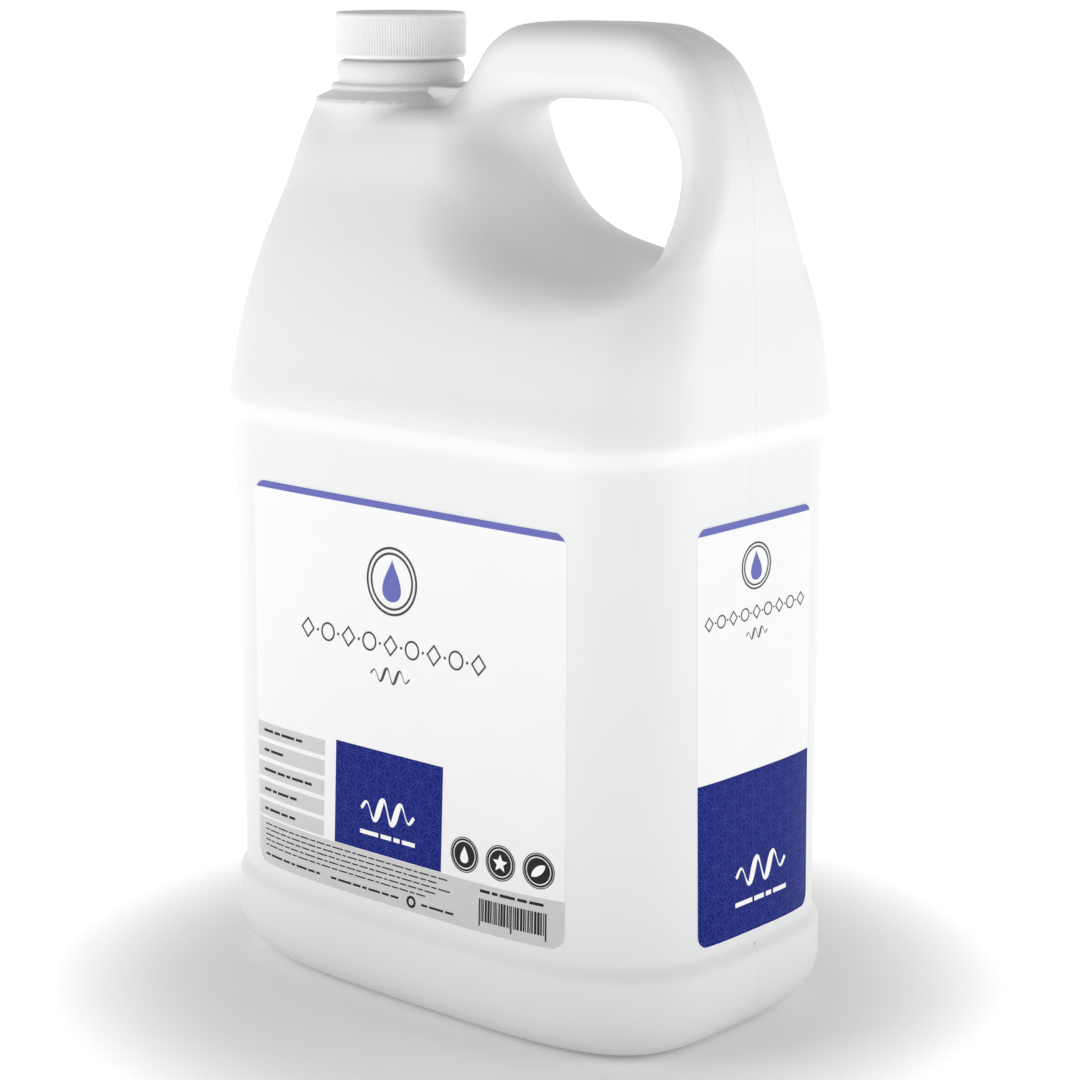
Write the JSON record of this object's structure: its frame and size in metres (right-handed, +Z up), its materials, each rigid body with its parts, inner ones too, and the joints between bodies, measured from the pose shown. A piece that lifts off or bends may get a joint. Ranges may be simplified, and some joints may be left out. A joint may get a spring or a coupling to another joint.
{
  "type": "handled shampoo jug",
  "caption": "Large rectangular blow-moulded shampoo jug with a hollow carrying grip over a finger window, a ribbed screw cap on an offset neck, and a label on its wide face and on its grip end.",
  "frame": {"origin": "middle of the footprint, on the surface that the jug stands on", "axes": "+Z up along the neck; +X towards the grip end, with the neck towards -X; the wide face with the main label looks along -Y"},
  "size_m": [0.187, 0.1184, 0.299],
  "materials": {
    "jug_hdpe": "satin",
    "cap_pp": "satin",
    "liner_foam": "matte",
    "label_film": "satin",
    "shampoo_liquid": "gloss"
  },
  "bodies": {
    "jug": {"jug_body": "jug_hdpe", "front_label": "label_film", "side_label": "label_film", "shampoo_fill": "shampoo_liquid"},
    "liner": {"cap_liner": "liner_foam"},
    "cap": {"screw_cap": "cap_pp"}
  },
  "joints": [
    {"name": "cap_turn", "type": "hinge", "parent": "liner", "child": "cap", "pos_m": [-0.05, 0, 0.29], "axis": [0, 0, 1], "range_deg": [0, 1260]},
    {"name": "cap_rise", "type": "slide", "parent": "jug", "child": "liner", "axis": [0, 0, 1], "range_m": [0, 0.0148]}
  ],
  "couplings": [
    {"joint": "cap_turn", "follows": "cap_rise", "rad_per_m": 1485.4}
  ]
}
